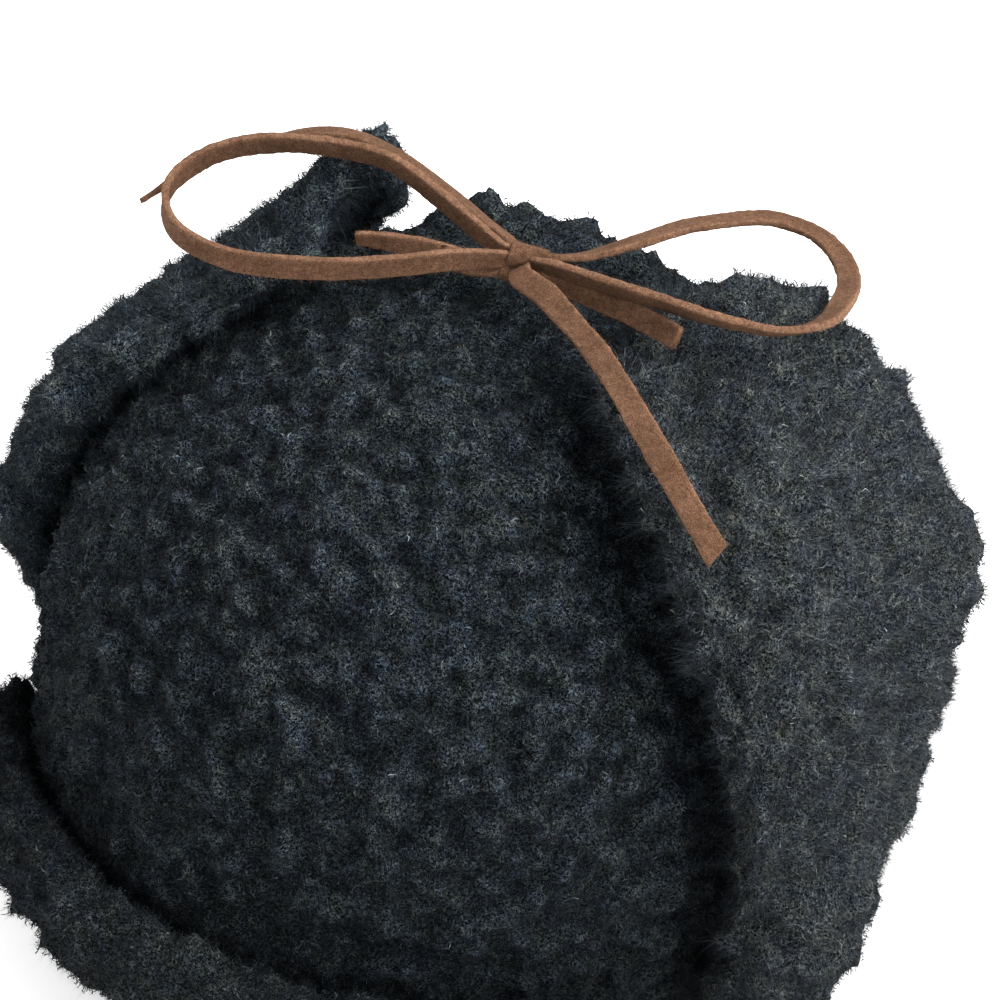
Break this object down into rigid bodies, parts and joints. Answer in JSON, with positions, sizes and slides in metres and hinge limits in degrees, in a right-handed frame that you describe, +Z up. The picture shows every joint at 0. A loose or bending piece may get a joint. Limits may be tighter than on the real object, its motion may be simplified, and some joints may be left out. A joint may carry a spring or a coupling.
{
  "type": "aviator hat",
  "caption": "Soft aviator hat with a deep fleece crown, its front, ear and neck flaps turned up, and the ear flaps tied over the top with a flat suede lace in a bow.",
  "frame": {"origin": "middle of the head opening, on the plane that the crown's rim rests on", "axes": "+Z up to the top of the crown, -Y to the wearer's front, +X to the wearer's left"},
  "size_m": [0.2353, 0.2536, 0.1759],
  "materials": {
    "fleece": "deep curly pile, matte",
    "suede_lace": "brushed suede, matte"
  },
  "bodies": {
    "root": {"crown": "fleece", "front_flap": "fleece", "ear_flap_left": "fleece", "ear_flap_right": "fleece", "neck_flap": "fleece", "bow_knot": "suede_lace", "lace_right": "suede_lace", "lace_left": "suede_lace", "bow_loop_right": "suede_lace", "bow_loop_left": "suede_lace", "bow_tail_front": "suede_lace", "bow_tail_back": "suede_lace"}
  },
  "joints": []
}
